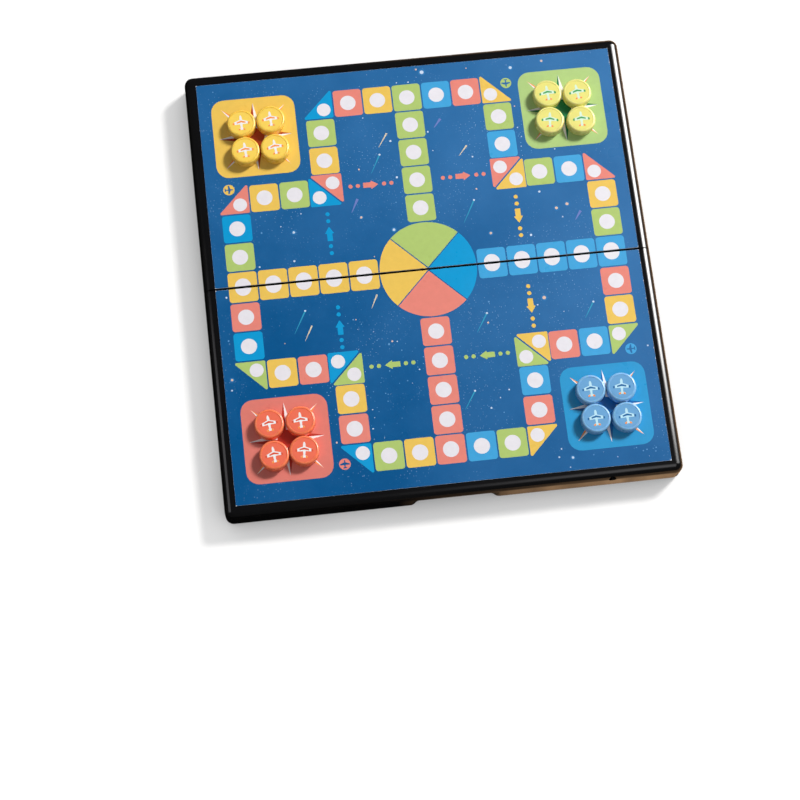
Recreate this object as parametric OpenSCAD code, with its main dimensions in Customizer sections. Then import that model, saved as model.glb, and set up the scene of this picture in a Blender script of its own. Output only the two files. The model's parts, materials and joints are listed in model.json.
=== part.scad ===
// Folding ludo board box, opened out flat with its printed faces up.
// Two shallow black trays are hinged along the seam.  Folded under by half a
// turn, their hollow sides close on each other and the playing discs go inside.
// Millimetres, +Z up.  The seam lies along X, and the box stands on Z = 0.

/* [Board] */
// Outer width of the board, along the seam
board_w = 244.4; // [236:0.2:252]
// Outer length of the open board, both halves together
board_l = 252.6; // [244:0.2:260]
// Depth of one tray, from its printed face to its open rim
tray_h = 14.3; // [12:0.1:18]
// Thickness of the moulded walls
wall = 2; // [1.6:0.1:2.4]
// Thickness of the panel under the printed sheet
panel_t = 1.6; // [1.2:0.1:2.4]
// Radius of the round bead along the outer edges
bead_r = 4.3; // [3:0.1:4.4]
// Radius of the outer corners, seen from above
corner_r = 4.5; // [4.5:0.1:6]
// Width of the raised rim beside the printed sheet
rim_w = 6.1; // [5.2:0.1:7]
// Gap between the two halves when the board is open
seam_gap = 0.5; // [0.4:0.1:0.8]

/* [Playing face] */
// Thickness of the printed playing sheet
sheet_t = 0.5; // [0.3:0.1:0.8]
// Thickness of the steel plate that the discs are drawn to
plate_t = 0.4; // [0.3:0.1:0.6]
// Open groove between the sheet and the rim
groove = 0.25; // [0.2:0.05:0.5]
// Distance of the sheet's edge from the seam side of its tray
sheet_setback = 0.4; // [0.2:0.1:0.8]

/* [Hinges] */
// Distance of each hinge from the middle of the seam
hinge_x = 75; // [60:1:90]
// Outer radius of the hinge knuckles
knuckle_r = 2.4; // [2.2:0.1:2.6]
// Length of each of the two outer knuckles
outer_knuckle_l = 7; // [6:0.5:9]
// Length of the middle knuckle
mid_knuckle_l = 9.4; // [8:0.2:12]
// Radius of the steel hinge pin
pin_r = 1; // [0.8:0.05:1.1]

/* [Locating lips and finger recess] */
// Thickness of the lips that locate one tray inside the other
lip_t = 1.4; // [1:0.1:1.8]
// Clearance between a lip and the wall that it enters
lip_gap = 0.3; // [0.25:0.05:0.4]
// Width of the finger recess at the outer wall
thumb_w = 48; // [36:0.4:52]
// Depth of the finger recess into the wall
thumb_d = 2.1; // [1.6:0.1:2.6]
// Height of the wall left above the finger recess
thumb_drop = 4.9; // [4.5:0.1:8]
// Distance of the small round hole from the middle of the front wall
hole_x = 83.7; // [70:0.1:100]
// Radius of that hole
hole_r = 2; // [1.5:0.1:2.4]
// Depth of its centre below the printed face
hole_drop = 3.4; // [3:0.1:6]

/* [Discs] */
// Diameter of a playing disc
disc_d = 15.8; // [14:0.1:15.9]
// Height of a playing disc
disc_h = 5.5; // [4.5:0.1:6.5]
// Width of the raised ring round the disc's face
ring_w = 1.4; // [1.4:0.1:2]
// Depth of the disc's face below that ring
face_drop = 0.2; // [0.1:0.05:0.25]
// Radius of the round magnet in the disc's foot
magnet_r = 4; // [3:0.1:5]
// Thickness of that magnet
magnet_t = 1.5; // [1:0.1:2]

/* [Hidden] */
TEAMS = ["yellow", "green", "red", "blue"];
// Where the four discs of each team stand on their corner base
DISC_SPOTS = [
    [[-92.9, 93.1], [-76.7, 93.9], [-92.2, 76.9], [-75.8, 77.1]],
    [[77.7, 93.9], [94.3, 93.0], [76.9, 77.9], [94.3, 76.7]],
    [[-94.3, -78.7], [-77.6, -78.7], [-93.3, -95.9], [-77.3, -95.0]],
    [[77.7, -77.9], [94.3, -78.3], [78.3, -94.0], [94.9, -94.7]],
];
DISC_COLORS = ["#FFD75A", "#F2EE7E", "#F2735A", "#78A5D8"];
SHELL_COLOR = "#151515";
PRINT_COLOR = "#0B5796";
STEEL_COLOR = "#B8BCC0";

function disc_name(team, n) = str(TEAMS[team], "_disc_", n + 1);
function magnet_name(team, n) = str(TEAMS[team], "_magnet_", n + 1);

$fn = 64;
// Overlap of solids that are joined, and the length by which a cut passes a face.
eps = 0.01;
cut_over = 1;

// Heights.  The hinge axis lies in the plane of both open rims, so the knuckles
// reach below it, and the lips reach just as far and keep the board level.
lip_h = knuckle_r;
rim_z = lip_h;
top_z = rim_z + tray_h;
shelf_z = top_z - sheet_t - plate_t;
ceiling_z = shelf_z - panel_t;
sheet_z = top_z - sheet_t;

// Plan of the front half: outer wall at -Y, seam side at +Y.
half_w = board_w / 2;
half_l = board_l / 2;
seam_y = seam_gap / 2;
seam_edge_r = 0.35;
recess_x = half_w - rim_w;
recess_y = half_l - rim_w;

// Running clearances of the hinge.
pin_play = 0.05;
knuckle_play = 0.35;
end_play = 0.3;
station_l = 2 * outer_knuckle_l + mid_knuckle_l + 2 * end_play;
pin_end_inset = 0.3;
feed_groove_l = station_l + 2;

// Mouldings inside the trays.
rib_t = 1.2;
rib_h = 1.2;
rib_x = 40;
inner_r = 1;
lip_root = 3;
lip_chamfer = 0.4;
thumb_wall = 1.6;
thumb_ramp = 5.2;

// Details of a disc: its round upper edge, its foot and the magnet's pocket.
disc_edge_r = 1.1;
foot_chamfer = 0.3;
magnet_play = 0.05;
pocket_r = magnet_r + magnet_play;
magnet_lift = 0.2;

// Stretches of lip, as [from, to].  Front and rear stretches never face each other.
FRONT_SIDE_LIP = [68, 116];
REAR_SIDE_LIP = [8, 62];
FRONT_END_LIP = [66, 112];
REAR_END_LIP = [30, 62];

// ---------------------------------------------------------------- profiles

// Rectangle from [x0, y0] to [x1, y1] whose corners have the radii
// [low left, low right, high right, high left]; 0 leaves a corner square.
module rounded_rect(x0, y0, x1, y1, radii) {
    corners = [[x0, y0, 1, 1], [x1, y0, -1, 1], [x1, y1, -1, -1], [x0, y1, 1, -1]];
    difference() {
        translate([x0, y0]) square([x1 - x0, y1 - y0]);
        for (i = [0:3]) if (radii[i] > 0)
            translate([corners[i][0], corners[i][1]]) mirror([corners[i][2] < 0 ? 1 : 0, 0])
                mirror([0, corners[i][3] < 0 ? 1 : 0]) corner_waste(radii[i]);
    }
}

// What a round of radius r takes off a square corner at the origin.
module corner_waste(r) {
    difference() {
        translate([-cut_over, -cut_over]) square(r + cut_over);
        translate([r, r]) circle(r);
    }
}

// One half of the board as a solid block: vertical sides, a bead of radius
// top_r that runs along its three outer edges and round its outer corners, which
// have the radius plan_r seen from above, and seam edges of radius seam_r.
module half_block(x, y_out, y_seam, z0, z1, top_r, plan_r, seam_r) {
    mid_x = x - plan_r;
    mid_y = y_out - plan_r;
    difference() {
        union() {
            // Between the corners
            translate([-mid_x, 0, 0]) rotate([90, 0, 90]) linear_extrude(2 * mid_x)
                rounded_rect(-y_out, z0, -y_seam, z1, [0, 0, 0, top_r]);
            // From the corners to the seam
            translate([0, -y_seam, 0]) rotate([90, 0, 0]) linear_extrude(mid_y - y_seam)
                rounded_rect(-x, z0, x, z1, [0, 0, top_r, top_r]);
            for (side = [0, 1]) mirror([side, 0, 0]) translate([mid_x, -mid_y, 0])
                rotate([0, 0, -90]) rotate_extrude(angle = 90)
                    rounded_rect(0, z0, plan_r, z1, [0, 0, top_r, 0]);
        }
        // Upper edge at the seam
        translate([-x - cut_over, -y_seam, z1]) rotate([90, 0, 90]) linear_extrude(2 * (x + cut_over))
            rotate(180) corner_waste(seam_r);
        // Upright edges at the seam
        for (side = [0, 1]) mirror([side, 0, 0]) translate([x, -y_seam, z0 - cut_over])
            linear_extrude(z1 - z0 + 2 * cut_over) rotate(180) corner_waste(seam_r);
    }
}

// Points on an arc round c, from angle a0 to a1.
function arc_points(c, r, a0, a1, steps = 6) =
    [for (i = [0:steps]) let (a = a0 + (a1 - a0) * i / steps) c + r * [cos(a), sin(a)]];

// Plan of the finger recess, its mouth on y = 0 and its floor at y = d: each end
// is an S of two equal arcs over the length ramp.
module finger_plan(w, d, ramp) {
    rho = (ramp * ramp + d * d) / (4 * d);
    turn = asin(ramp / 2 / rho);
    right_end = concat(
        [[w / 2, -cut_over]],
        arc_points([w / 2, rho], rho, 270, 270 - turn),
        arc_points([w / 2 - ramp, d - rho], rho, 90 - turn, 90)
    );
    for (side = [0, 1]) mirror([side, 0])
        polygon(concat([[0, d], [0, -cut_over]], right_end));
}

// ---------------------------------------------------------------- tray parts

// A straight lip that stands lip_h below the rim, its outer face on y = 0 and its
// root joined to the wall behind, which lies lip_gap further out.
module lip_bar(from, to) {
    translate([from, 0, 0]) rotate([90, 0, 90]) linear_extrude(to - from)
        polygon([[lip_chamfer, 0], [lip_t - lip_chamfer, 0], [lip_t, lip_chamfer],
                 [lip_t, rim_z + lip_root], [-lip_gap - eps, rim_z + lip_root],
                 [-lip_gap - eps, rim_z + lip_gap], [0, rim_z + lip_gap], [0, lip_chamfer]]);
}

// The lips of a tray in the place of the front half: along both side walls, and
// along the outer wall on both sides of the finger recess.
module lips(side_stretch, end_stretch) {
    for (side = [0, 1]) mirror([side, 0, 0]) {
        translate([-half_w + wall + lip_gap, 0, 0]) rotate([0, 0, -90])
            lip_bar(side_stretch[0], side_stretch[1]);
        translate([0, -half_l + wall + lip_gap, 0])
            lip_bar(end_stretch[0], end_stretch[1]);
    }
}

// Low stiffening ribs under the panel.
module stiffening_ribs() {
    rib_z = ceiling_z - rib_h;
    for (x = [-rib_x, rib_x])
        translate([x - rib_t / 2, -half_l + wall - eps, rib_z])
            cube([rib_t, half_l - seam_y - 2 * wall + 2 * eps, rib_h + eps]);
    translate([-half_w + wall - eps, -half_l / 2 - rib_t / 2, rib_z])
        cube([board_w - 2 * wall + 2 * eps, rib_t, rib_h + eps]);
}

// The tray without its hinge knuckles and lips, in the place of the front half.
module tray() {
    difference() {
        union() {
            difference() {
                half_block(half_w, half_l, seam_y, rim_z, top_z, bead_r, corner_r, seam_edge_r);
                half_block(half_w - wall, half_l - wall, seam_y + wall, rim_z - cut_over, ceiling_z,
                           inner_r, corner_r - wall, inner_r);
            }
            stiffening_ribs();
            // Wall behind the finger recess
            translate([0, -half_l + wall - eps, rim_z]) linear_extrude(ceiling_z - rim_z + eps)
                rounded_rect(-thumb_w / 2 - thumb_wall, 0, thumb_w / 2 + thumb_wall,
                             thumb_d + thumb_wall - wall + eps, [0, 0, inner_r, inner_r]);
        }
        // Bed of the steel plate and the printed sheet, open along the seam
        translate([-recess_x, -recess_y, shelf_z]) cube([2 * recess_x, recess_y, sheet_t + plate_t + cut_over]);
        translate([0, -half_l, rim_z - cut_over]) linear_extrude(tray_h - thumb_drop + cut_over)
            finger_plan(thumb_w, thumb_d, thumb_ramp);
    }
}

// ---------------------------------------------------------------- hinges

module along_hinge(x0, x1, r) {
    translate([x0, 0, rim_z]) rotate([0, 90, 0]) cylinder(h = x1 - x0, r = r);
}

// Knuckles of one tray at both hinges; is_outer picks the two outer knuckles of
// each hinge, and otherwise it is the middle one.  grow enlarges them into notches.
module knuckles(is_outer, grow_r, grow_x) {
    for (centre = [-hinge_x, hinge_x]) {
        if (is_outer) for (side = [-1, 1]) {
            near = side * (mid_knuckle_l / 2 + end_play);
            far = side * station_l / 2;
            along_hinge(centre + min(near, far) - grow_x, centre + max(near, far) + grow_x,
                        knuckle_r + grow_r);
        }
        if (!is_outer)
            along_hinge(centre - mid_knuckle_l / 2 - grow_x, centre + mid_knuckle_l / 2 + grow_x,
                        knuckle_r + grow_r);
    }
}

// Pin bores, and the half-round grooves through which the pins are pushed in
// from the side walls.
module pin_bores(r) {
    for (side = [0, 1]) mirror([side, 0, 0]) {
        along_hinge(hinge_x - station_l / 2 - cut_over, hinge_x + station_l / 2 + eps, r);
        along_hinge(hinge_x + station_l / 2, hinge_x + station_l / 2 + feed_groove_l,
                    pin_r + 2 * pin_play);
    }
}

module hinge_pin(centre) {
    color(STEEL_COLOR)
        along_hinge(centre - station_l / 2 + pin_end_inset, centre + station_l / 2 - pin_end_inset, pin_r);
}

// ---------------------------------------------------------------- sub-parts

module front_shell() {
    color(SHELL_COLOR) difference() {
        union() {
            difference() {
                tray();
                knuckles(false, knuckle_play, end_play);
                translate([hole_x, -half_l - cut_over, top_z - hole_drop]) rotate([-90, 0, 0])
                    cylinder(h = wall + 2 * cut_over, r = hole_r);
            }
            knuckles(true, 0, 0);
            lips(FRONT_SIDE_LIP, FRONT_END_LIP);
        }
        pin_bores(pin_r);
    }
}

module rear_shell() {
    color(SHELL_COLOR) difference() {
        union() {
            mirror([0, 1, 0]) {
                difference() {
                    tray();
                    knuckles(true, knuckle_play, end_play);
                }
                lips(REAR_SIDE_LIP, REAR_END_LIP);
            }
            knuckles(false, 0, 0);
        }
        pin_bores(pin_r + pin_play);
    }
}

// Flat sheet in the bed of the front half, bottom at z0.
module bed_sheet(z0, t) {
    translate([-recess_x + groove, -recess_y + groove, z0])
        cube([2 * (recess_x - groove), recess_y - groove - seam_y - sheet_setback, t]);
}

module front_steel_plate() {
    color(STEEL_COLOR) bed_sheet(shelf_z, plate_t);
}

module rear_steel_plate() {
    color(STEEL_COLOR) mirror([0, 1, 0]) bed_sheet(shelf_z, plate_t);
}

module front_playing_sheet() {
    color(PRINT_COLOR) bed_sheet(sheet_z, sheet_t);
}

module rear_playing_sheet() {
    color(PRINT_COLOR) mirror([0, 1, 0]) bed_sheet(sheet_z, sheet_t);
}

// A playing disc: round-edged, with a raised ring that slopes down to its face,
// and a pocket for the magnet in its foot.
module disc(team, n) {
    spot = DISC_SPOTS[team][n];
    r = disc_d / 2;
    face_r = r - ring_w;
    face_h = disc_h - face_drop;
    color(DISC_COLORS[team]) translate([spot[0], spot[1], top_z]) rotate_extrude()
        difference() {
            union() {
                polygon([[0, 0], [r - foot_chamfer, 0], [r, foot_chamfer],
                         [r, disc_h - disc_edge_r], [r - disc_edge_r, disc_h], [0, disc_h]]);
                translate([r - disc_edge_r, disc_h - disc_edge_r]) intersection() {
                    circle(disc_edge_r);
                    square(disc_edge_r);
                }
            }
            polygon([[0, face_h], [face_r, face_h],
                     [face_r + face_drop + cut_over, disc_h + cut_over], [0, disc_h + cut_over]]);
            translate([0, -cut_over]) square([pocket_r, cut_over + magnet_t + magnet_lift]);
        }
}

module magnet(team, n) {
    spot = DISC_SPOTS[team][n];
    color(STEEL_COLOR) translate([spot[0], spot[1], top_z + magnet_lift])
        cylinder(h = magnet_t, r = magnet_r);
}

front_shell();
rear_shell();
front_steel_plate();
rear_steel_plate();
front_playing_sheet();
rear_playing_sheet();
hinge_pin(-hinge_x);  // left_hinge_pin
hinge_pin(hinge_x);  // right_hinge_pin
for (team = [0:3]) for (n = [0:3]) {
    disc(team, n);
    magnet(team, n);
}
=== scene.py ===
"""Looks of the folding ludo board box: the finish of every piece, the game printed
on the two playing faces, the discs' printed faces, and the studio round it all.

The game is laid out in pitches of its track, on a board drawn in one piece. It is
then cut at the folding seam, and each half of it rides on its own tray. Every
printed mark is a thin closed prism, so its outline is geometry.
"""

import json
import math
import random

import bpy
from mathutils import Euler, Matrix, Vector

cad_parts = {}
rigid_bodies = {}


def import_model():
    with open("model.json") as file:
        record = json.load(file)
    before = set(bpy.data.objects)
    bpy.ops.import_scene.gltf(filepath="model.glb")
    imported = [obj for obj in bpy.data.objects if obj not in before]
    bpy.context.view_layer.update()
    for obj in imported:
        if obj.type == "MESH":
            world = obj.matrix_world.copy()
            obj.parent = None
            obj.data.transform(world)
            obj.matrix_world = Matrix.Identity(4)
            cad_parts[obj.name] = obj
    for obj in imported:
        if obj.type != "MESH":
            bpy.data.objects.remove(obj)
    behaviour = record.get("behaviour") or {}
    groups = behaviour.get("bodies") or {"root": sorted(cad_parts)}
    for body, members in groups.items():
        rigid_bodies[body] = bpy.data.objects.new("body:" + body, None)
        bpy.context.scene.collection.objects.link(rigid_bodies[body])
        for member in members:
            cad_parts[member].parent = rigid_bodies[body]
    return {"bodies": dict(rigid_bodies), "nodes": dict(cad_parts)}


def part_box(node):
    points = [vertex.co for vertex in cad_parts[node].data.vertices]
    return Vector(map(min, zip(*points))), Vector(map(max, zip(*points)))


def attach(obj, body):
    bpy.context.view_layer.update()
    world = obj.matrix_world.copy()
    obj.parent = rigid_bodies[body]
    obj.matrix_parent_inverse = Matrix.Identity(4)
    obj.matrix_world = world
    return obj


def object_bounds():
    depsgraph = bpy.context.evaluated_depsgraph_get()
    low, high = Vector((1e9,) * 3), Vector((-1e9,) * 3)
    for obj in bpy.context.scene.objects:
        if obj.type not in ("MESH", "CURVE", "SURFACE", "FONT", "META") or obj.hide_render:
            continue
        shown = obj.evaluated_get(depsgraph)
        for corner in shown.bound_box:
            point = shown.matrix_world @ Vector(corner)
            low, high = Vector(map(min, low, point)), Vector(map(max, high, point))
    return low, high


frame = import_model()
cad_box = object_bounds()

# ------------------------------------------------------------------ sizes
MM = 0.001
PITCH = 16.5 * MM  # from one field of the track to the next
TEAMS = ("yellow", "green", "red", "blue")
HALVES = {"front": -1, "rear": 1}  # the side of the seam that each half lies on

sheet_low, sheet_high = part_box("rear_playing_sheet")
sheet_top = sheet_high.z
seam_edge = sheet_low.y
sheet_x = sheet_high.x
sheet_y = sheet_high.y

# Heights of the printed layers above the sheet, and how deep their prisms reach into it
LAYER = {"ground": 0.012 * MM, "halos": 0.016 * MM, "stars": 0.02 * MM, "fields": 0.03 * MM,
         "dots": 0.04 * MM, "rose": 0.045 * MM, "marks": 0.05 * MM, "details": 0.06 * MM}
ROOT = 0.02 * MM
CUT_EDGE = 0.03 * MM  # white edge that the print leaves along the sheet
CUT_CORNER = 0.8 * MM
NICKS = 11  # small chips of each half's print along its right edge
NICK_DEPTH = (0.1, 0.3)  # least and most, in millimetres
NICK_LENGTH = (0.2, 0.7)

# ------------------------------------------------------------------ colours
INKS = {
    "yellow": "#EFC75C", "green": "#B2CC74", "red": "#EA897C", "blue": "#009CD9",
    # The paler blue is the fields' blue with a painted sheen on it, used right of the middle
    "painted_sheen_blue": "#40A6E0", "green_base": "#AFCE82", "red_base": "#E07F74", "blue_base": "#2899D2",
    "white": "#EBE9F1", "pale": "#F7F4F6", "star": "#C9DCF4", "speck": "#5F9CD2",
    "halo": "#2A77B4", "warm": "#E3C2B0", "cream": "#D9CDB4", "lilac": "#6D7FC4",
    "teal": "#2F9EC4", "orange": "#FF9B45", "yellow_deep": "#A8431A", "green_deep": "#17784A",
    "red_deep": "#B63A2D", "blue_deep": "#0B67A8",
    "ice": "#BFE8F8", "mint": "#DCF3E0", "leaf": "#45A85C", "rust": "#E2563A",
}
BASE_INK = {"yellow": "yellow", "green": "green_base", "red": "red_base", "blue": "blue_base"}
FACE_INKS = {"yellow": "#FFD960", "green": "#EDE681", "red": "#F57459", "blue": "#6BA7D9"}
DISC_PLASTIC = {"yellow": "#FFD055", "green": "#EFE98C", "red": "#FF8258", "blue": "#84BCE9"}


def rgba(code):
    """Linear colour of an sRGB code such as #EFC556."""
    parts = [int(code[i:i + 2], 16) / 255 for i in (1, 3, 5)]
    return (*[p / 12.92 if p <= 0.04045 else ((p + 0.055) / 1.055) ** 2.4 for p in parts], 1)


# ------------------------------------------------------------------ materials
class Finish:
    """A procedural material: its Principled shader and short ways to add nodes to it."""

    def __init__(self, name, colour, roughness, specular=0.5, metallic=0.0):
        self.material = bpy.data.materials.new(name)
        self.material.use_nodes = True
        self.tree = self.material.node_tree
        self.shader = self.tree.nodes["Principled BSDF"]
        self.set(self.shader, {"Base Color": colour, "Roughness": roughness,
                               "Specular IOR Level": specular, "Metallic": metallic})
        self.place = self.add("ShaderNodeTexCoord").outputs["Object"]

    def set(self, node, values):
        for key, value in values.items():
            socket = node.inputs[key]
            if isinstance(value, bpy.types.NodeSocket):
                self.tree.links.new(value, socket)
            else:
                socket.default_value = value

    def add(self, kind, values=None, **settings):
        node = self.tree.nodes.new(kind)
        for key, value in settings.items():
            setattr(node, key, value)
        self.set(node, values or {})
        return node

    def noise(self, size, detail=3.0, roughness=0.55):
        """Noise from 0 to 1 whose patches are about size metres across."""
        return self.add("ShaderNodeTexNoise", {
            "Vector": self.place, "Scale": 1 / size, "Detail": detail, "Roughness": roughness,
        }).outputs["Fac"]

    def spread(self, value, low, high, start=0.3, end=0.7):
        """value, which runs from start to end, taken to run from low to high."""
        return self.add("ShaderNodeMapRange", {"Value": value, "From Min": start, "From Max": end,
                                               "To Min": low, "To Max": high}).outputs["Result"]

    def math(self, operation, a, b=0.0):
        return self.add("ShaderNodeMath", {0: a, 1: b}, operation=operation).outputs[0]

    def mix(self, factor, a, b):
        """Colour a where factor is 0 and colour b where it is 1."""
        node = self.add("ShaderNodeMix", data_type="RGBA")
        self.set(node, {0: factor, 6: a, 7: b})
        return node.outputs[2]

    def bump(self, height, distance, strength=1.0, below=None):
        values = {"Height": height, "Distance": distance, "Strength": strength}
        if below is not None:
            values["Normal"] = below
        return self.add("ShaderNodeBump", values).outputs["Normal"]

    def finish(self, **values):
        names = {"colour": "Base Color", "roughness": "Roughness", "normal": "Normal"}
        self.set(self.shader, {names[key]: value for key, value in values.items()})
        return self.material


def shade(colour, factor):
    return (*[min(1, channel * factor) for channel in colour[:3]], 1)


def gloss_shell():
    """Black moulded plastic: polished outside, satin inside the trays, faintly uneven."""
    f = Finish("gloss_black_abs", rgba("#08080A"), 0.14, specular=0.6)
    x, y, z = f.add("ShaderNodeSeparateXYZ", {0: f.place}).outputs
    # Outside is where a face looks away from a point deep under the middle of its tray,
    # and its plane lies at least so far from that point
    tray_middle = 63 * MM  # from the seam
    depth = 50 * MM
    outside_from = 55 * MM
    off_middle = f.math("SUBTRACT", f.math("ABSOLUTE", y), tray_middle)
    away = f.add("ShaderNodeCombineXYZ", {
        0: x, 1: f.math("MULTIPLY", f.math("SIGN", y), off_middle), 2: f.math("ADD", z, depth),
    }).outputs[0]
    normal = f.add("ShaderNodeTexCoord").outputs["Normal"]
    facing = f.add("ShaderNodeVectorMath", {0: away, 1: normal},
                   operation="DOT_PRODUCT").outputs["Value"]
    outside = f.math("GREATER_THAN", facing, outside_from)
    smears = f.spread(f.noise(30 * MM, detail=4), 0.12, 0.17)
    satin = f.spread(f.noise(0.4 * MM), 0.34, 0.46)
    roughness = f.add("ShaderNodeMix", {0: outside, 2: satin, 3: smears}).outputs[0]
    sink = f.bump(f.noise(14 * MM, detail=1), 0.02 * MM, 0.4)
    grain_depth = f.add("ShaderNodeMix", {0: outside, 2: 1.0, 3: 0.03}).outputs[0]
    grain = f.bump(f.math("MULTIPLY", f.noise(0.35 * MM, detail=2), grain_depth),
                   0.012 * MM, 0.4, below=sink)
    return f.finish(roughness=roughness, normal=grain)


def film_core():
    """White plastic film under the print, seen only along its cut edges."""
    f = Finish("white_film", rgba("#DCE4EE"), 0.45)
    return f.finish(colour=f.mix(f.noise(0.8 * MM), rgba("#D3DCE8"), rgba("#E8EDF4")),
                    normal=f.bump(f.noise(0.3 * MM), 0.01 * MM, 0.3))


def film_grain(f):
    """The slightly pebbled surface of the laminated print."""
    waves = f.bump(f.noise(24 * MM, detail=2), 0.05 * MM, 0.35)
    return f.bump(f.noise(0.3 * MM, detail=2), 0.01 * MM, 0.5, below=waves)


def starry_ground():
    """Deep blue ground of the print, with soft clouds and fine star dust."""
    f = Finish("starry_ground", rgba("#00528F"), 0.3, specular=0.2)
    x, y, _ = f.add("ShaderNodeSeparateXYZ", {0: f.place}).outputs
    clouds = f.noise(62 * MM, detail=6, roughness=0.6)
    # Painted sheen: the ground is paler towards its upper right, where glare would lie on it; the
    # clouds add the print's own tone
    slope = f.math("ADD", x, f.math("MULTIPLY", y, 0.8))
    light = f.spread(slope, 0, 1, start=-0.16, end=0.2)
    painted_sheen_and_clouds = f.math("ADD", f.math("MULTIPLY", light, 0.75), f.spread(clouds, -0.16, 0.28))
    colour = f.mix(f.math("MINIMUM", f.math("MAXIMUM", painted_sheen_and_clouds, 0.0), 1.0),
                   rgba("#00538D"), rgba("#3978B4"))
    mottle = f.spread(f.noise(2.2 * MM, detail=5, roughness=0.7), 0.0, 0.1, start=0.35, end=0.75)
    colour = f.mix(mottle, colour, rgba("#0078BE"))
    specks = f.add("ShaderNodeTexVoronoi",
                   {"Vector": f.place, "Scale": 1 / (1.5 * MM), "Randomness": 1.0})
    near = f.spread(specks.outputs["Distance"], 1, 0, start=0.05, end=0.2)
    drift = f.spread(f.noise(26 * MM, detail=3), 0, 1, start=0.46, end=0.64)
    dust = f.math("MULTIPLY", f.math("MAXIMUM", f.math("MINIMUM", near, 1.0), 0.0),
                  f.math("MINIMUM", f.math("MAXIMUM", drift, 0.04), 1.0))
    colour = f.mix(f.math("MULTIPLY", dust, 0.7), colour, rgba("#9CC4EC"))
    return f.finish(colour=colour, roughness=f.spread(f.noise(40 * MM), 0.27, 0.33),
                    normal=film_grain(f))


def printed_ink(name, code):
    """One flat ink of the print, a little uneven in tone."""
    f = Finish("ink_" + name, rgba(code), 0.3, specular=0.3)
    tone = f.noise(3.5 * MM, detail=5, roughness=0.65)
    colour = f.mix(f.spread(tone, 0, 1), shade(rgba(code), 0.97), shade(rgba(code), 1.03))
    return f.finish(colour=colour, roughness=f.spread(f.noise(12 * MM), 0.27, 0.33),
                    normal=film_grain(f))


def disc_plastic(name, code):
    """Satin moulded plastic of the discs."""
    f = Finish(name + "_plastic", rgba(code), 0.3)
    f.set(f.shader, {"Subsurface Weight": 0.25, "Subsurface Radius": (1.0, 0.6, 0.3),
                     "Subsurface Scale": 1.5 * MM})
    tone = f.noise(6 * MM, detail=3)
    colour = f.mix(f.spread(tone, 0, 1), shade(rgba(code), 0.96), shade(rgba(code), 1.04))
    return f.finish(colour=colour, roughness=f.spread(f.noise(2.5 * MM, detail=4), 0.22, 0.34),
                    normal=f.bump(f.noise(0.5 * MM, detail=3), 0.012 * MM, 0.5))


def metal(name, code, roughness, streak):
    """Bare metal with fine streaks along X, streak metres apart."""
    f = Finish(name, rgba(code), roughness, metallic=1.0)
    stretched = f.add("ShaderNodeMapping",
                      {"Vector": f.place, "Scale": (0.04, 1, 1)}).outputs["Vector"]
    lines = f.add("ShaderNodeTexNoise",
                  {"Vector": stretched, "Scale": 1 / streak, "Detail": 3}).outputs["Fac"]
    return f.finish(colour=f.mix(lines, shade(rgba(code), 0.8), shade(rgba(code), 1.1)),
                    roughness=f.spread(lines, roughness * 0.8, roughness * 1.25),
                    normal=f.bump(lines, 0.004 * MM, 0.5))


def dress(node, material):
    """Gives a CAD node its finished material."""
    for slot in frame["nodes"][node].material_slots:
        slot.material = material


ink = {name: printed_ink(name, code) for name, code in INKS.items()}
for team in TEAMS:
    ink[team + "_face"] = printed_ink(team + "_face", FACE_INKS[team])
ink["ground"] = starry_ground()

shell, core = gloss_shell(), film_core()
plate_steel = metal("tinned_steel", "#A9ADB0", 0.34, 0.6 * MM)
pin_steel = metal("drawn_steel", "#B9BBBD", 0.22, 0.15 * MM)
nickel = metal("nickel_plate", "#A8A49C", 0.2, 0.4 * MM)
for half in HALVES:
    dress(half + "_shell", shell)
    dress(half + "_playing_sheet", core)
    dress(half + "_steel_plate", plate_steel)
for side in ("left", "right"):
    dress(side + "_hinge_pin", pin_steel)
for team in TEAMS:
    plastic = disc_plastic(team, DISC_PLASTIC[team])
    for n in range(1, 5):
        dress(f"{team}_disc_{n}", plastic)
        dress(f"{team}_magnet_{n}", nickel)


# ------------------------------------------------------------------ outlines
def circle(x, y, radius, steps=36):
    angles = [2 * math.pi * i / steps for i in range(steps)]
    return [(x + radius * math.cos(a), y + radius * math.sin(a)) for a in angles]


def rounded(corners, radius, steps=5):
    """The polygon through corners, each of them rounded to radius."""
    points = []
    for i, corner in enumerate(corners):
        here = Vector(corner)
        back = (Vector(corners[i - 1]) - here).normalized()
        ahead = (Vector(corners[(i + 1) % len(corners)]) - here).normalized()
        half_angle = back.angle(ahead) / 2
        middle = here + (back + ahead).normalized() * radius / math.sin(half_angle)
        start = here + back * radius / math.tan(half_angle) - middle
        end = here + ahead * radius / math.tan(half_angle) - middle
        turn = math.atan2(start.x * end.y - start.y * end.x, start.dot(end))
        first = math.atan2(start.y, start.x)
        angles = [first + turn * k / steps for k in range(steps + 1)]
        points += [(middle.x + radius * math.cos(a), middle.y + radius * math.sin(a))
                   for a in angles]
    return points


def square(x, y, size, radius):
    h = size / 2
    return rounded([(x - h, y - h), (x + h, y - h), (x + h, y + h), (x - h, y + h)], radius)


def half_square(x, y, dx, dy, leg, radius):
    """Right triangle with its right angle at (x, y), which points towards (dx, dy)."""
    return rounded([(x, y), (x - dx * leg, y), (x, y - dy * leg)], radius)


def moved(outline, x, y, turn=0.0, scale=1.0):
    """The outline scaled, turned about its origin and set down with it at (x, y)."""
    c, s = scale * math.cos(turn), scale * math.sin(turn)
    return [(x + c * px - s * py, y + s * px + c * py) for px, py in outline]


def doubled(right_side):
    """Closed outline from its right-hand side, listed from the nose back, and the mirror of it."""
    return right_side + [(-x, y) for x, y in reversed(right_side)]


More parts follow.
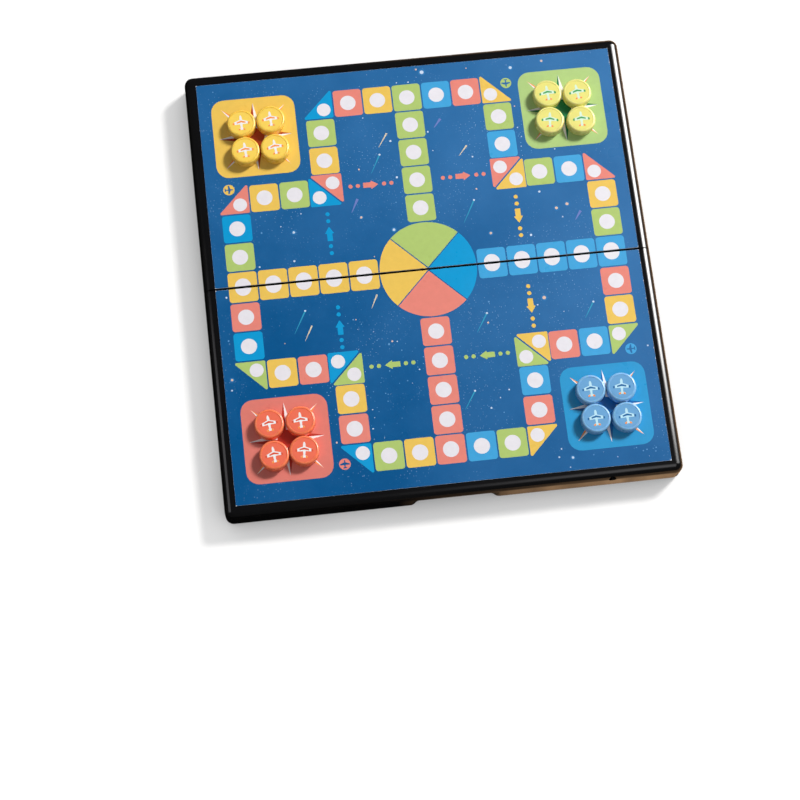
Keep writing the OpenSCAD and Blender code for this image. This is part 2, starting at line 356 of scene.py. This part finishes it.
# A small aeroplane seen from above, its nose towards +Y, one unit long, and the
# bands across its wings and its tailplane
AEROPLANE = rounded(doubled([
    (0.03, 0.5), (0.075, 0.38), (0.08, 0.2), (0.53, 0.04), (0.53, -0.1), (0.08, -0.08),
    (0.055, -0.32), (0.21, -0.4), (0.21, -0.5), (0.03, -0.47)]), 0.018, 3)
WING_BAND = [(0.0, 0.15), (0.28, 0.06), (0.28, -0.03), (0.0, 0.03)]
WING_TIP = rounded([(0.42, 0.07), (0.53, 0.035), (0.53, -0.1), (0.42, -0.095)], 0.015, 3)
TAIL_TIP = rounded([(0.08, -0.345), (0.21, -0.41), (0.21, -0.5), (0.08, -0.48)], 0.015, 3)

ARROW_SHAFT = 0.26
ARROW_HEAD = 0.245
ARROW = rounded([(-ARROW_SHAFT, -0.09), (0, -0.09), (0, -0.155), (ARROW_HEAD, 0),
                 (0, 0.155), (0, 0.09), (-ARROW_SHAFT, 0.09)], 0.015, 3)


def area(outline):
    return sum(a[0] * b[1] - b[0] * a[1] for a, b in zip(outline, outline[1:] + outline[:1])) / 2


def cut(outline, side):
    """What of the outline lies on that side of the seam, which is at y = 0."""
    kept = []
    for a, b in zip(outline, outline[1:] + outline[:1]):
        if a[1] * side >= 0:
            kept.append(a)
        if a[1] * b[1] < 0:
            t = a[1] / (a[1] - b[1])
            kept.append((a[0] + t * (b[0] - a[0]), 0.0))
    return kept


# ------------------------------------------------------------------ prints
class Print:
    """Flat prisms in several inks that become one mesh."""

    def __init__(self):
        self.points, self.faces, self.face_inks, self.inks = [], [], [], []

    def stamp(self, outline, low, high, ink_name):
        """Adds a prism over an outline in metres, from height low to high."""
        if area(outline) < 0:
            outline = outline[::-1]
        if ink_name not in self.inks:
            self.inks.append(ink_name)
        count, base = len(outline), len(self.points)
        self.points += [(x, y, low) for x, y in outline] + [(x, y, high) for x, y in outline]
        following = [*range(1, count), 0]
        sides = [(base + i, base + j, base + count + j, base + count + i)
                 for i, j in enumerate(following)]
        top = tuple(base + count + i for i in range(count))
        bottom = tuple(base + i for i in reversed(range(count)))
        self.faces += [top, bottom, *sides]
        self.face_inks += [self.inks.index(ink_name)] * (count + 2)

    def make(self, name, body, slot):
        mesh = bpy.data.meshes.new(name)
        mesh.from_pydata(self.points, [], self.faces)
        for ink_name in self.inks:
            mesh.materials.append(ink[ink_name])
        mesh.polygons.foreach_set("material_index", self.face_inks)
        mesh.validate()
        piece = bpy.data.objects.new(name, mesh)
        bpy.context.scene.collection.objects.link(piece)
        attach(piece, body)


class BoardPrint:
    """One printed pattern, in pitches, cut in two at the seam."""

    SMALLEST = 1e-5  # area of a cut-off scrap that isn't printed, in square pitches

    def __init__(self, name):
        self.name = name
        self.prints = {half: Print() for half in HALVES}

    def stamp(self, outline, layer, ink_name):
        for half, side in HALVES.items():
            kept = cut(outline, side)
            if len(kept) < 3 or abs(area(kept)) < self.SMALLEST:
                continue
            placed = [(x * PITCH, y * PITCH + side * seam_edge) for x, y in kept]
            self.prints[half].stamp(placed, sheet_top - ROOT, sheet_top + LAYER[layer], ink_name)

    def make(self):
        for half, pattern in self.prints.items():
            if pattern.points:
                pattern.make(f"{half}_{self.name}", half, "printed_sheet")


# ------------------------------------------------------------------ the game
FIELD = 0.95
FIELD_R = 0.1
DOT_R = 0.262
SMALL_DOT_R = 0.228
TRIANGLE_R = 0.045
CORNER_LEG = 1.04
PAIR_MIDDLE = 3.055
PAIR_SIZE = 1.11
PAIR_GAP = 0.05
INCENTRE = 1 - math.sqrt(0.5)  # of a right triangle with legs of 1
LANES = (3.0, 4.11, 5.112, 6.11)  # rings of the track, from the centre out
HOME_PLACES = (2.119, 3.12, 4.115, 5.112)
TRACK_ORDER = ("blue", "red", "yellow", "green")

# One quarter of the track, clockwise from its upper left: a place, and for a
# triangle the way its right angle points
CORNER_FIELDS = {"corner": CORNER_LEG, "pair": PAIR_SIZE}
QUARTER = (
    [(-LANES[0], LANES[3], "corner", (1, -1))]
    + [(x, LANES[3], "square", None) for x in (-2, -1, 0, 1, 2)]
    + [(LANES[0], LANES[3], "corner", (-1, -1)),
       (LANES[0], LANES[2], "square", None),
       (LANES[0], LANES[1], "square", None),
       (PAIR_MIDDLE, PAIR_MIDDLE, "pair", (-1, 1)),
       (PAIR_MIDDLE, PAIR_MIDDLE, "pair", (1, -1)),
       (LANES[1], LANES[0], "square", None),
       (LANES[2], LANES[0], "square", None)]
)
BASE_MIDDLE = (5.195, 5.21)
BASE_SIZE = 2.8
BASE_R = 0.42
# The compass rose: its disc and hub, and the reach and waist of its points
ROSE_R = 0.6
HUB_R = 0.3
STRAIGHT_POINT = (1.22, 0.22)
SLANTED_POINT = (1.52, 0.2)
BASE_SIGNS = {"yellow": (-1, 1), "green": (1, 1), "red": (-1, -1), "blue": (1, -1)}
CENTRE_R = 1.6
SPOKE_GAP = 0.035
# Way that each team's home run lies from the centre, in quarter turns from +X
HOME_TURN = {"green": 1, "blue": 0, "red": 3, "yellow": 2}
# Arrows: ink, place, and heading in degrees
ARROWS = (
    ("red", -1.55, 3.1, 0), ("red", 1.55, 3.1, 0),
    ("yellow", 3.2, 1.5, -90), ("yellow", 3.2, -1.58, -90),
    ("green", 1.55, -3.1, 180), ("green", -1.55, -3.1, 180),
    ("blue", -3.1, -1.66, 90), ("blue", -3.1, 1.52, 90),
)
ARROW_DOTS = (-0.685, -0.44, 0.44, 0.685)
ARROW_DOT_R = 0.07
ARROW_CLEAR = 0.16  # half the width of the ground that stars leave free for an arrow
# Start marks: team, place, and heading of the aeroplane in degrees
START_MARKS = (("yellow", -6.26, 3.39, 0), ("green", 3.4, 6.3, -90),
               ("red", -3.44, -6.24, 90), ("blue", 6.26, -3.38, 180))
START_R = 0.185
START_PLANE_L = START_R * 1.55
# Shooting stars: ink, how many, shortest and longest, width, and radius of the bright head
STREAKS = (("cream", 4, 0.35, 0.7, 0.06, 0.0),
           ("lilac", 3, 0.35, 0.55, 0.09, 0.0),
           ("teal", 6, 0.5, 0.9, 0.05, 0.035))
# Single stars: how many, least and largest radius, their inks, and the halo's size in radii
STARS = ((12, 0.04, 0.07, ("star", "star", "warm"), 1.9),
         (46, 0.02, 0.042, ("star", "star", "warm", "speck"), 0.0))
# Clusters of specks, each of them spread round a free place
CLUSTERS = 34
CLUSTER_SPREAD = (0.3, 0.8)
CLUSTER_GAP = 0.1
CLUSTER_SPECKS = (12, 0.009, 0.025, ("speck", "speck", "star"))  # as for single stars


def turned(x, y, quarters):
    """(x, y) after clockwise quarter turns round the middle of the board."""
    for _ in range(quarters):
        x, y = y, -x
    return x, y


def ink_at(ink_name, x):
    """The ink of a square field or start mark: right of the middle its blue is paler, a painted
    sheen.
    """
    return "painted_sheen_blue" if ink_name == "blue" and x > 0 else ink_name


def square_field(pattern, x, y, ink_name):
    pattern.stamp(square(x, y, FIELD, FIELD_R), "fields", ink_at(ink_name, x))
    pattern.stamp(circle(x, y, DOT_R), "dots", "white")


def triangle_field(pattern, x, y, kind, way, ink_name):
    size = CORNER_FIELDS[kind]
    dx, dy = way
    leg = size if kind == "corner" else size - PAIR_GAP * math.sqrt(0.5)
    side = FIELD if kind == "corner" else size
    corner_x, corner_y = x + dx * side / 2, y + dy * side / 2
    inset = INCENTRE * leg
    pattern.stamp(half_square(corner_x, corner_y, dx, dy, leg, TRIANGLE_R), "fields", ink_name)
    middle = (corner_x - dx * inset, corner_y - dy * inset)
    pattern.stamp(circle(*middle, SMALL_DOT_R), "dots", "white")


def print_track():
    """The 52 fields of the track, in four colours that follow each other."""
    track = BoardPrint("track")
    places = []
    for quarter in range(4):
        for x, y, kind, way in QUARTER:
            ink_name = TRACK_ORDER[len(places) % len(TRACK_ORDER)]
            px, py = turned(x, y, quarter)
            if kind == "square":
                square_field(track, px, py, ink_name)
            else:
                triangle_field(track, px, py, kind, turned(*way, quarter), ink_name)
            places.append((px, py))
    track.make()
    return places


def print_home_runs():
    """Four rows of fields that lead from the track to the centre."""
    rows = BoardPrint("home_runs")
    places = []
    for team, quarters in HOME_TURN.items():
        for place in HOME_PLACES:
            x, y = turned(place, 0.0, -quarters % 4)
            square_field(rows, x, y, team)
            places.append((x, y))
    rows.make()
    return places


def print_centre():
    """The round goal: one sector for each team, parted by thin gaps."""
    centre = BoardPrint("centre")
    steps = 20
    tip = SPOKE_GAP / 2 * math.sqrt(2)
    slack = math.asin(SPOKE_GAP / 2 / CENTRE_R)
    for team, quarters in HOME_TURN.items():
        first = (quarters - 0.5) * math.pi / 2 + slack
        sweep = math.pi / 2 - 2 * slack
        middle = quarters * math.pi / 2
        angles = [first + sweep * k / steps for k in range(steps + 1)]
        sector = [(tip * math.cos(middle), tip * math.sin(middle))]
        sector += [(CENTRE_R * math.cos(a), CENTRE_R * math.sin(a)) for a in angles]
        centre.stamp(sector, "fields", team)
    centre.make()


def print_base(bases, team):
    """A corner base: a rounded square with a compass rose, on which the discs stand."""
    sx, sy = BASE_SIGNS[team]
    x, y = sx * BASE_MIDDLE[0], sy * BASE_MIDDLE[1]
    deep = team + "_deep"
    bases.stamp(square(x, y, BASE_SIZE, BASE_R), "fields", BASE_INK[team])
    bases.stamp(circle(x, y, ROSE_R, 48), "dots", deep)
    points = ((math.pi / 4, SLANTED_POINT, "rose", ("orange", "pale")),
              (0.0, STRAIGHT_POINT, "marks", ("pale", deep)))
    for quarter in range(4):
        for turn, (reach, waist), layer, inks in points:
            way = quarter * math.pi / 2 + turn
            for side, ink_name in zip((-1, 1), inks):
                half = [(0.0, 0.0), (waist, side * waist), (reach, 0.0)]
                bases.stamp(moved(half, x, y, way), layer, ink_name)
    bases.stamp(circle(x, y, HUB_R, 32), "details", deep)


def print_marks():
    """Arrows with their dots, and a small aeroplane at each start."""
    arrows = BoardPrint("arrows")
    for ink_name, x, y, degrees in ARROWS:
        turn = math.radians(degrees)
        arrows.stamp(moved(ARROW, x, y, turn), "fields", ink_name)
        for along in ARROW_DOTS:
            arrows.stamp(moved(circle(along, 0, ARROW_DOT_R, 20), x, y, turn), "fields", ink_name)
    arrows.make()
    starts = BoardPrint("start_marks")
    for team, x, y, degrees in START_MARKS:
        starts.stamp(circle(x, y, START_R), "fields", ink_at(team, x))
        turn = math.radians(degrees - 90)  # the aeroplane is drawn with its nose up
        starts.stamp(moved(AEROPLANE, x, y, turn, START_PLANE_L), "dots", "ground")
    starts.make()


def taken_places(field_places):
    """Boxes of the ground that are printed over, each as its middle and its half sizes."""
    boxes = [(x, y, FIELD / 2, FIELD / 2) for x, y in field_places]
    boxes += [(sx * BASE_MIDDLE[0], sy * BASE_MIDDLE[1], BASE_SIZE / 2, BASE_SIZE / 2)
              for sx, sy in BASE_SIGNS.values()]
    boxes += [(x, y, START_R, START_R) for _, x, y, _ in START_MARKS]
    long, wide = max(ARROW_DOTS) + ARROW_DOT_R, ARROW_CLEAR
    boxes += [(x, y, long, wide) if degrees % 180 == 0 else (x, y, wide, long)
              for _, x, y, degrees in ARROWS]
    return boxes


class Sky:
    """Places stars at random on the free ground, clear of the print and of each other."""

    EDGE = 0.1  # ground that stays empty along the edges of the board, in pitches
    STAR_GAP = 0.02
    STREAK_GAP = 0.1
    STREAK_HALF_W = 0.08  # half the width that other stars leave free for a streak

    def __init__(self, boxes, seed):
        self.boxes, self.dice = boxes, random.Random(seed)
        self.reach_x = sheet_x / PITCH - self.EDGE
        self.reach_y = (sheet_y - seam_edge) / PITCH - self.EDGE
        self.pattern = BoardPrint("stars")

    def is_free(self, x, y, margin):
        on_board = abs(x) <= self.reach_x and margin < abs(y) < self.reach_y
        if not on_board or math.hypot(x, y) < CENTRE_R + margin:
            return False
        return all(abs(x - px) > hx + margin or abs(y - py) > hy + margin
                   for px, py, hx, hy in self.boxes)

    def anywhere(self):
        return (self.dice.uniform(-self.reach_x, self.reach_x),
                self.dice.uniform(-self.reach_y, self.reach_y))

    def dot(self, x, y, radius, ink_name, halo=0.0):
        """Prints a star if its place is free, and says whether it did."""
        if not self.is_free(x, y, max(radius, halo) + self.STAR_GAP):
            return False
        if halo:
            self.pattern.stamp(circle(x, y, halo, 20), "halos", "halo")
        self.pattern.stamp(circle(x, y, radius, 12), "stars", ink_name)
        self.boxes.append((x, y, max(radius, halo), max(radius, halo)))
        return True

    def strew(self, count, place, low, high, ink_names, halo=0.0):
        """Adds count dots with radii from low to high, most of them small."""
        made = 0
        while made < count:
            radius = low + (high - low) * self.dice.random() ** 2
            made += self.dot(*place(), radius, self.dice.choice(ink_names), halo * radius)

    def streak(self, ink_name, low, high, width, head=0.0):
        """A shooting star that tapers to its lower left."""
        while True:
            x, y = self.anywhere()
            way = math.radians(self.dice.uniform(228, 244))
            length = self.dice.uniform(low, high)
            along = [(x + t * length * math.cos(way), y + t * length * math.sin(way))
                     for t in (0, 0.25, 0.5, 0.75, 1)]
            if all(self.is_free(px, py, self.STREAK_GAP) for px, py in along):
                break
        outline = rounded([(0, -width / 2), (length, -width / 10), (length, width / 10),
                           (0, width / 2)], width / 12, 2)
        self.pattern.stamp(moved(outline, x, y, way), "halos", ink_name)
        if head:
            self.pattern.stamp(circle(x, y, head, 12), "stars", "star")
        self.boxes += [(px, py, self.STREAK_HALF_W, self.STREAK_HALF_W) for px, py in along]


def print_stars(field_places):
    """The starry sky: shooting stars, glowing stars, single stars and clusters of specks."""
    sky = Sky(taken_places(field_places), seed=11)
    for ink_name, count, *sizes in STREAKS:
        for _ in range(count):
            sky.streak(ink_name, *sizes)
    for count, *looks in STARS:
        sky.strew(count, sky.anywhere, *looks)
    for _ in range(CLUSTERS):
        middle = sky.anywhere()
        spread = sky.dice.uniform(*CLUSTER_SPREAD)

        def nearby():
            return sky.dice.gauss(middle[0], spread), sky.dice.gauss(middle[1], spread)

        if sky.is_free(*middle, CLUSTER_GAP):
            count, *looks = CLUSTER_SPECKS
            sky.strew(count, nearby, *looks)
    sky.pattern.make()


def print_ground():
    """The blue ground of each half, with a hair of white along its cut edges. At the
    right, small nicks show the white too."""
    nicks = random.Random(3)
    for half, side in HALVES.items():
        ground = Print()
        near, far = seam_edge + CUT_EDGE, sheet_y - CUT_EDGE
        x = sheet_x - CUT_EDGE
        corners = [(-x, side * near), (x, side * near), (x, side * far), (-x, side * far)]
        outline = rounded(corners, CUT_CORNER, 4)
        ground.stamp(outline, sheet_top - ROOT, sheet_top + LAYER["ground"], "ground")
        for y in (nicks.uniform(near, far) for _ in range(NICKS)):
            depth, length = nicks.uniform(*NICK_DEPTH) * MM, nicks.uniform(*NICK_LENGTH) * MM
            nick = [(x - depth, side * y - length / 2), (x, side * y - length),
                    (x, side * y + length)]
            ground.stamp(nick, sheet_top - ROOT, sheet_top + LAYER["halos"], "pale")
        ground.make(half + "_ground", half, "printed_sheet")


print_ground()
printed_places = print_track() + print_home_runs()
print_centre()
base_print = BoardPrint("bases")
for team in TEAMS:
    print_base(base_print, team)
base_print.make()
print_marks()
print_stars(printed_places)


# ------------------------------------------------------------------ discs
RING_W = 1.4 * MM  # raised ring round a disc's face
FACE_DROP = 0.2 * MM
FACE_PLAY = 0.05 * MM
AEROPLANE_L = 8.8 * MM
FACE_LAYERS = (0.13 * MM, 0.15 * MM, 0.17 * MM)  # face, aeroplane and trim above the recess
# Inks of the aeroplane's body and of the bands across its wings
PLANE_INKS = {"yellow": ("pale", "orange"), "green": ("mint", "leaf"),
              "red": ("pale", "rust"), "blue": ("ice", "blue_deep")}
MOST_TURN = 7  # degrees that a disc lies askew at most


def print_disc(team, n, turn):
    """The printed face of one disc, with a plain aeroplane that points up the board."""
    low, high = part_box(f"{team}_disc_{n}")
    x, y = (low.x + high.x) / 2, (low.y + high.y) / 2
    floor_z = high.z - FACE_DROP
    face_r = (high.x - low.x) / 2 - RING_W - FACE_PLAY
    face, body, trim = (floor_z + layer for layer in FACE_LAYERS)
    base = floor_z - ROOT
    disc_print = Print()
    disc_print.stamp(circle(x, y, face_r, 64), base, face, team + "_face")
    body_ink, wing_ink = PLANE_INKS[team]
    disc_print.stamp(moved(AEROPLANE, x, y, turn, AEROPLANE_L), base, body, body_ink)
    bands = ((WING_BAND, wing_ink), (WING_TIP, wing_ink), (TAIL_TIP, "orange"))
    for side in (-1, 1):
        for outline, ink_name in bands:
            mirrored = [(side * px, py) for px, py in outline]
            disc_print.stamp(moved(mirrored, x, y, turn, AEROPLANE_L), base, trim, ink_name)
    disc_print.make(f"{team}_print_{n}", f"{team}_piece_{n}", team + "_plastic")


turns = random.Random(5)
for team in TEAMS:
    for n in range(1, 5):
        print_disc(team, n, math.radians(turns.uniform(-MOST_TURN, MOST_TURN)))


# ------------------------------------------------------------------ studio
def face_board(lamp, along):
    """Turns a lamp towards the middle of the board, with its width as nearly along the
    direction along as it can be."""
    outward = (lamp.location - Vector((0, 0, sheet_top))).normalized()
    across = (along - outward * along.dot(outward)).normalized()
    lamp.rotation_euler = Matrix((across, outward.cross(across), outward)).transposed().to_euler()


def fade_along(data, start, end, low):
    """Dims a lamp along its width, from low times its brightness before start up to full
    at end, and softly towards both ends of its height. Start and end are shares of its width."""
    data.use_nodes = True
    nodes, links = data.node_tree.nodes, data.node_tree.links
    place = nodes.new("ShaderNodeSeparateXYZ")
    links.new(nodes.new("ShaderNodeNewGeometry").outputs["Parametric"], place.inputs[0])

    def ramp(value, **limits):
        level = nodes.new("ShaderNodeMapRange")
        level.interpolation_type = "SMOOTHSTEP"
        links.new(value, level.inputs["Value"])
        for key, limit in limits.items():
            level.inputs[key.replace("_", " ").title()].default_value = limit
        return level.outputs["Result"]

    def math_node(operation, a, b):
        node = nodes.new("ShaderNodeMath")
        node.operation = operation
        for socket, value in zip(node.inputs, (a, b)):
            if isinstance(value, float):
                socket.default_value = value
            else:
                links.new(value, socket)
        return node.outputs[0]

    along_width = ramp(place.outputs[0], from_min=start, from_max=end, to_min=low, to_max=1.0)
    off_middle = math_node("ABSOLUTE", math_node("SUBTRACT", place.outputs[1], 0.5), 0.0)
    along_height = ramp(off_middle, from_min=0.0, from_max=0.5, to_min=1.0, to_max=0.0)
    strength = math_node("MULTIPLY", along_width, along_height)
    links.new(strength, nodes["Emission"].inputs["Strength"])


def softbox(name, azimuth, elevation, distance, width, height, radiance, colour,
            reflected=True, lights=True, along=None, fade=None):
    """Rectangular lamp that faces the board; azimuth 0 is +X and 90 is +Y, in degrees.
    reflected and lights say whether glossy and matt surfaces get its light, along is the
    direction of its width, and fade holds the limits of fade_along."""
    data = bpy.data.lights.new(name, "AREA")
    data.shape = "RECTANGLE"
    data.size, data.size_y = width, height
    data.energy = radiance * math.pi * width * height
    data.color = colour
    if fade:
        fade_along(data, *fade)
    lamp = bpy.data.objects.new(name, data)
    bpy.context.scene.collection.objects.link(lamp)
    a, e = math.radians(azimuth), math.radians(elevation)
    outward = Vector((math.cos(a) * math.cos(e), math.sin(a) * math.cos(e), math.sin(e)))
    lamp.location = outward * distance
    face_board(lamp, Vector(along or (-math.sin(a), math.cos(a), 0)))
    lamp.visible_camera = False
    lamp.visible_glossy = reflected
    lamp.visible_diffuse = lights


# The key and the front panel light the board. The window and the two cards are only
# mirrored: on the right rims, on the front rim and on the left rims
softbox("key", 36, 40, 3.4, 0.635, 0.635, 105.0, (1.0, 0.98, 0.95), reflected=False)
softbox("window", 24.5, 37.4, 1.6, 0.9, 1.6, 32.0, (1.0, 0.99, 0.98), lights=False,
        along=(0, 1, 0), fade=(0.09, 0.41, 0.05))
softbox("front_panel", -95, 52, 1.7, 1.6, 0.9, 0.7, (0.95, 0.97, 1.0), reflected=False)
softbox("ceiling_card", -57, 71, 1.75, 0.6, 1.7, 1.5, (0.98, 0.97, 1.0), lights=False,
        along=(1, 0, 0), fade=(0.12, 0.72, 0.05))
softbox("left_card", 178, 46, 1.7, 0.9, 0.95, 1.1, (0.97, 0.95, 1.0), lights=False)

world = bpy.data.worlds.new("studio")
bpy.context.scene.world = world
world.use_nodes = True
background = world.node_tree.nodes["Background"]
path = world.node_tree.nodes.new("ShaderNodeLightPath")
# Brightness of the surroundings: what lights the object, what it mirrors, and what the camera sees
AMBIENT, MIRRORED, BACKDROP = 0.2, 0.07, 1.0
level = AMBIENT
for ray, brightness in (("Is Glossy Ray", MIRRORED), ("Is Camera Ray", BACKDROP)):
    choice = world.node_tree.nodes.new("ShaderNodeMapRange")
    world.node_tree.links.new(path.outputs[ray], choice.inputs["Value"])
    if isinstance(level, float):
        choice.inputs["To Min"].default_value = level
    else:
        world.node_tree.links.new(level, choice.inputs["To Min"])
    choice.inputs["To Max"].default_value = brightness
    level = choice.outputs["Result"]
world.node_tree.links.new(level, background.inputs["Strength"])
background.inputs["Color"].default_value = (1, 1, 1, 1)


TABLE_HALF = 4.0  # metres from the middle of the table to each of its edges
FOLD_SHIFT = 1 * MM  # the rear half has moved when its frame puts a point of the table this far off
# The table's painted warm glow, which the walls mirror as a reflection, grows between these X
WARM_FROM, WARM_TO = -30 * MM, 90 * MM  # the table's mirrored warmth grows between these X
# Glow of the paper near the board and far from it, and how far off these are
PAPER_GLOW = (0.62, 1.0)
PAPER_NEAR, PAPER_FAR = 0.35, 1.3
# The paper's glow carries a painted contact shade near anything that stands close over it
CONTACT = 60 * MM  # reach of the soft dark edge where something stands close over the table


def table_top():
    """Table that the camera sees as white paper with the object's shadow on it. Glossy walls
    mirror it warm beside the right half of the object and dark elsewhere. It hides nothing
    that is under it: it is clear from below, and for the camera also from above once the
    rear half has left its place at rest."""
    f = Finish("table", (0.7, 0.5, 0.33, 1), 0.9, specular=0.0)
    path = f.add("ShaderNodeLightPath").outputs
    mirrored = f.math("ADD", path["Is Glossy Ray"], path["Is Transmission Ray"])
    wood = f.mix(f.noise(60 * MM, detail=4), (0.66, 0.46, 0.3, 1), (0.78, 0.58, 0.4, 1))
    colour = f.mix(path["Is Camera Ray"], wood, (0.6, 0.6, 0.6, 1))
    # Glossy rays see the table dark, and beside the object's right half glowing warm: a painted
    # reflection that the walls mirror
    colour = f.mix(mirrored, colour, (0.02, 0.02, 0.02, 1))
    x, y, _ = f.add("ShaderNodeSeparateXYZ", {0: f.place}).outputs
    # Painted glow: warm patches that only glossy rays see, lit by no lamp
    side = f.spread(x, 0.0, 1.0, start=WARM_FROM, end=WARM_TO)
    beside = f.math("MAXIMUM", f.math("GREATER_THAN", f.math("ABSOLUTE", x), cad_box[1][0]),
                    f.math("GREATER_THAN", f.math("ABSOLUTE", y), cad_box[1][1]))
    patches = f.spread(f.noise(25 * MM, detail=3), 0.35, 1.15)
    warmth = f.math("MULTIPLY", beside, f.math("MULTIPLY", side, patches))
    far = f.add("ShaderNodeVectorMath", {0: f.place}, operation="LENGTH").outputs["Value"]
    paper = f.spread(far, *PAPER_GLOW, start=PAPER_NEAR, end=PAPER_FAR)
    # Painted contact shade: the glow that the camera sees is dimmed where something stands close
    # over the table
    painted_contact_shade = f.add("ShaderNodeAmbientOcclusion", {"Distance": CONTACT}).outputs["AO"]
    seen = f.math("MULTIPLY", path["Is Camera Ray"], f.math("MULTIPLY", paper, painted_contact_shade))
    glow = f.math("ADD", seen, f.math("MULTIPLY", mirrored, warmth))
    tint = f.mix(path["Is Camera Ray"], (1.0, 0.6, 0.32, 1), (1, 1, 1, 1))
    f.set(f.shader, {"Base Color": colour, "Emission Color": tint, "Emission Strength": glow})
    ground = f.add("ShaderNodeNewGeometry").outputs
    rear = f.add("ShaderNodeTexCoord", object=frame["bodies"]["rear"]).outputs["Object"]
    shift = f.add("ShaderNodeVectorMath", {0: rear, 1: ground["Position"]},
                  operation="DISTANCE").outputs["Value"]
    folded = f.math("GREATER_THAN", shift, FOLD_SHIFT)
    clear = f.math("MAXIMUM", ground["Backfacing"],
                   f.math("MULTIPLY", path["Is Camera Ray"], folded))
    either = f.add("ShaderNodeMixShader", {0: clear, 1: f.shader.outputs[0],
                                           2: f.add("ShaderNodeBsdfTransparent").outputs[0]})
    f.tree.links.new(either.outputs[0], f.tree.nodes["Material Output"].inputs["Surface"])
    return f.material


mesh = bpy.data.meshes.new("table")
mesh.from_pydata([(x * TABLE_HALF, y * TABLE_HALF, 0)
                  for x, y in ((-1, -1), (1, -1), (1, 1), (-1, 1))], [], [(0, 1, 2, 3)])
mesh.materials.append(table_top())
table = bpy.data.objects.new("table", mesh)
bpy.context.scene.collection.objects.link(table)
table.location.z = -ROOT

# The camera: the photograph's place, measured in pitches from the middle of the
# playing face, its turn in degrees, and its lens and sensor in millimetres
CAMERA_PLACE = (-5.40, -21.05, 61.16)
CAMERA_TURN = (15.563, -1.886, -6.594)
SENSOR_WIDTH = 36
FOCAL_LENGTH = 88.54
camera_data = bpy.data.cameras.new("camera")
camera_data.sensor_width = SENSOR_WIDTH
camera_data.lens = FOCAL_LENGTH
camera = bpy.data.objects.new("camera", camera_data)
camera.location = Vector(CAMERA_PLACE) * PITCH + Vector((0, 0, sheet_top))
camera.rotation_euler = Euler([math.radians(a) for a in CAMERA_TURN], "XYZ")
bpy.context.scene.collection.objects.link(camera)
bpy.context.scene.camera = camera
bpy.context.scene.view_settings.view_transform = "Standard"
